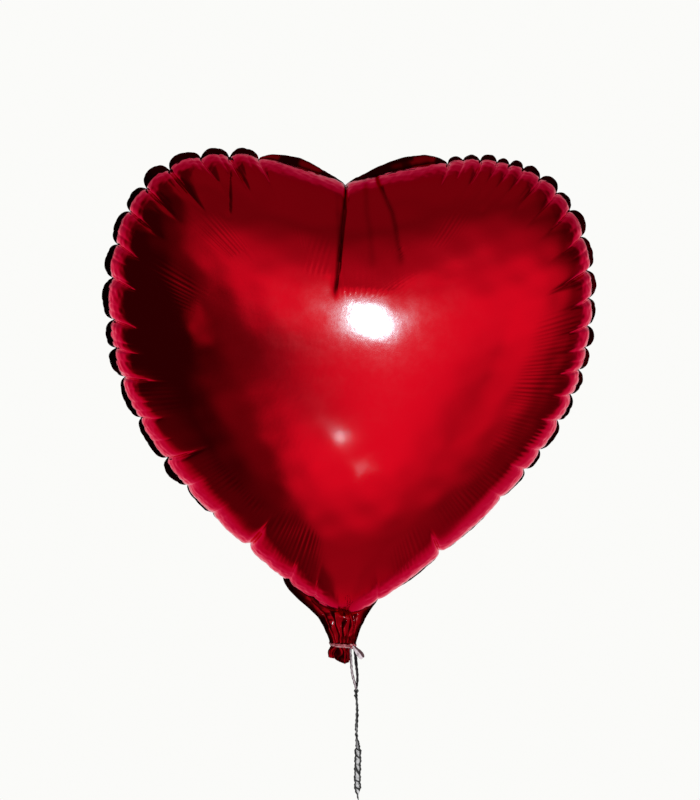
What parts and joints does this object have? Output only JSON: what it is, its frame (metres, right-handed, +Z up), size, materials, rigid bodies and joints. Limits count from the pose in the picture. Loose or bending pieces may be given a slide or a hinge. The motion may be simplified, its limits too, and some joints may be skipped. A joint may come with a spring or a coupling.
{
  "type": "foil balloon",
  "caption": "Inflated heart-shaped foil balloon with a welded rim, a neck tied shut by a ribbon, an open tail below the tie and a hanging flat ribbon.",
  "frame": {"origin": "under the middle of the heart, in the weld plane, level with the lower end of the hanging ribbon", "axes": "+Z up through the heart's cleft, +X to the right seen from the front, the front panel faces -Y"},
  "size_m": [0.3772, 0.1774, 0.7047],
  "materials": {
    "red_foil": "mirror-bright red metallised plastic film",
    "clear_film": "clear glossy film",
    "silver_ribbon": "satin silver-white curling ribbon"
  },
  "bodies": {
    "envelope": {"front_panel": "red_foil", "back_panel": "red_foil", "valve_front_film": "clear_film", "valve_back_film": "clear_film", "ribbon_wrap": "silver_ribbon"},
    "tail": {"tail_front_flap": "red_foil", "tail_back_flap": "red_foil"},
    "tie": {"ribbon_tie_knot": "silver_ribbon", "ribbon_short_end": "silver_ribbon"},
    "loop": {"ribbon_loop_left": "silver_ribbon", "ribbon_loop_right": "silver_ribbon", "ribbon_lower_knot": "silver_ribbon"},
    "link_1": {"ribbon_link_1": "silver_ribbon"},
    "link_2": {"ribbon_link_2": "silver_ribbon"},
    "link_3": {"ribbon_link_3": "silver_ribbon"},
    "link_4": {"ribbon_link_4": "silver_ribbon"},
    "link_5": {"ribbon_link_5": "silver_ribbon"}
  },
  "joints": [
    {"name": "tail_bend", "type": "hinge", "parent": "envelope", "child": "tail", "pos_m": [0, 0, 0.323], "axis": [1, 0, 0], "range_deg": [-5, 60]},
    {"name": "knot_roll", "type": "hinge", "parent": "envelope", "child": "tie", "pos_m": [0.0058, -0.0116, 0.3245], "axis": [1, 0, 0], "range_deg": [-60, 6]},
    {"name": "loop_swing", "type": "hinge", "parent": "tie", "child": "loop", "pos_m": [0.0058, -0.0116, 0.3245], "axis": [0, 1, 0], "range_deg": [-45, 45]},
    {"name": "link_1_swing", "type": "hinge", "parent": "loop", "child": "link_1", "pos_m": [0.0096, -0.0116, 0.291], "axis": [0, 1, 0], "range_deg": [-35, 35]},
    {"name": "link_2_swing", "type": "hinge", "parent": "link_1", "child": "link_2", "pos_m": [0.01178, -0.0116, 0.2328], "axis": [1, 0, 0], "range_deg": [-35, 35]},
    {"name": "link_3_swing", "type": "hinge", "parent": "link_2", "child": "link_3", "pos_m": [0.01396, -0.0116, 0.1746], "axis": [0, 1, 0], "range_deg": [-35, 35]},
    {"name": "link_4_swing", "type": "hinge", "parent": "link_3", "child": "link_4", "pos_m": [0.01614, -0.0116, 0.1164], "axis": [1, 0, 0], "range_deg": [-35, 35]},
    {"name": "link_5_swing", "type": "hinge", "parent": "link_4", "child": "link_5", "pos_m": [0.01832, -0.0116, 0.0582], "axis": [0, 1, 0], "range_deg": [-35, 35]}
  ]
}
